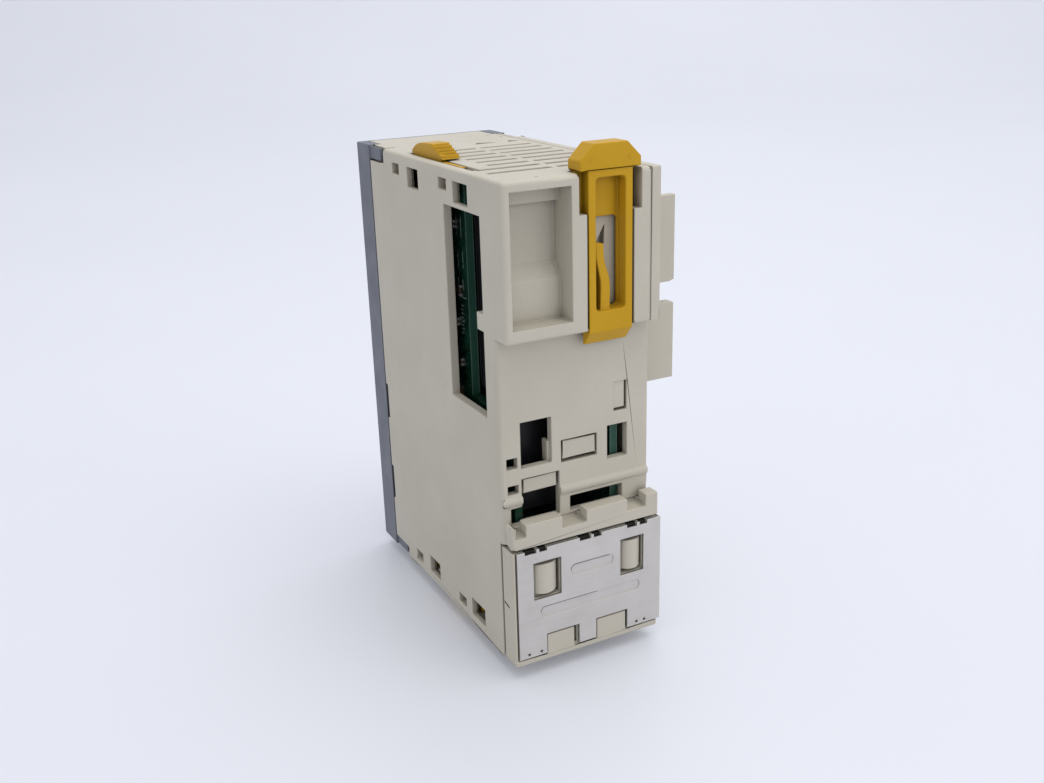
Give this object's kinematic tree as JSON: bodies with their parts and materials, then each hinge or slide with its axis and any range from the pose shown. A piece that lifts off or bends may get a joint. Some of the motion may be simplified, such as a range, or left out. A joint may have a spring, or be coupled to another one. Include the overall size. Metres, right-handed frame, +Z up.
{
  "type": "plc module",
  "caption": "Narrow beige snap-together PLC communication module for a DIN rail, with a dark bezel, a yellow rail latch and two yellow sliders that lock it to its neighbours.",
  "frame": {"origin": "centre of the underside of the whole bounding box, below the lower module-lock slider", "axes": "+Z up with the rail latch at the top, +Y towards the rail, -Y out of the front bezel, +X towards the side with the bus socket"},
  "size_m": [0.0402, 0.067, 0.0974],
  "materials": {
    "beige_abs": "fine moulded texture, satin",
    "dark_grey_abs": "fine moulded texture, satin",
    "yellow_pom": "smooth, slightly waxy",
    "black_pbt": "satin",
    "solder_mask_green": "solder mask over copper",
    "tinned_sheet": "tinned, rolled, lightly scratched",
    "gold_contact": "gold plated",
    "smoked_lens": "polished",
    "clear_acrylic": "polished",
    "led_body": "moulded epoxy",
    "white_dial": "satin",
    "nickel_plate": "nickel plated",
    "capacitor_can": "drawn can"
  },
  "bodies": {
    "case": {"main_case": "beige_abs", "side_cover": "beige_abs", "lower_rear_cover": "beige_abs", "front_bezel": "dark_grey_abs", "rear_shield_plate": "tinned_sheet", "indicator_lens": "smoked_lens", "light_guide": "clear_acrylic", "indicator_led_strip": "led_body", "front_board": "solder_mask_green", "bus_board": "solder_mask_green", "io_board": "solder_mask_green", "bus_socket": "black_pbt", "bus_plug": "black_pbt", "bus_socket_contacts_front": "gold_contact", "bus_socket_contacts_rear": "gold_contact", "bus_plug_contacts_front": "gold_contact", "bus_plug_contacts_rear": "gold_contact", "number_switch_body_left": "black_pbt", "number_switch_body_right": "black_pbt", "mode_switch_body": "black_pbt", "port_shell": "nickel_plate", "port_insulator": "black_pbt", "port_contacts": "gold_contact", "port_body": "black_pbt", "jack_post_upper": "nickel_plate", "jack_post_lower": "nickel_plate", "board_link": "black_pbt", "front_link": "black_pbt", "isolation_transformer": "black_pbt", "processor_chip": "black_pbt", "program_memory": "black_pbt", "work_memory": "black_pbt", "bus_driver": "black_pbt", "filter_capacitor_front": "capacitor_can", "filter_capacitor_rear": "capacitor_can", "crystal_can": "nickel_plate"},
    "rail_latch": {"rail_latch": "yellow_pom"},
    "top_slider": {"top_slider": "yellow_pom"},
    "bottom_slider": {"bottom_slider": "yellow_pom"},
    "number_dial_left": {"number_dial_left": "white_dial"},
    "number_dial_right": {"number_dial_right": "white_dial"},
    "mode_switch_knob": {"mode_switch_knob": "white_dial"}
  },
  "joints": [
    {"name": "latch_slide", "type": "slide", "parent": "case", "child": "rail_latch", "axis": [0, 0, 1], "range_m": [0, 0.005]},
    {"name": "top_lock_slide", "type": "slide", "parent": "case", "child": "top_slider", "axis": [0, 1, 0], "range_m": [0, 0.005]},
    {"name": "bottom_lock_slide", "type": "slide", "parent": "case", "child": "bottom_slider", "axis": [0, 1, 0], "range_m": [-0.005, 0]},
    {"name": "left_dial_turn", "type": "hinge", "parent": "case", "child": "number_dial_left", "pos_m": [-0.00205, -0.0325, 0.0632], "axis": [0, 1, 0], "continuous": true},
    {"name": "right_dial_turn", "type": "hinge", "parent": "case", "child": "number_dial_right", "pos_m": [0.01115, -0.0325, 0.0632], "axis": [0, 1, 0], "continuous": true},
    {"name": "mode_slide", "type": "slide", "parent": "case", "child": "mode_switch_knob", "axis": [1, 0, 0], "range_m": [0, 0.0039]}
  ]
}
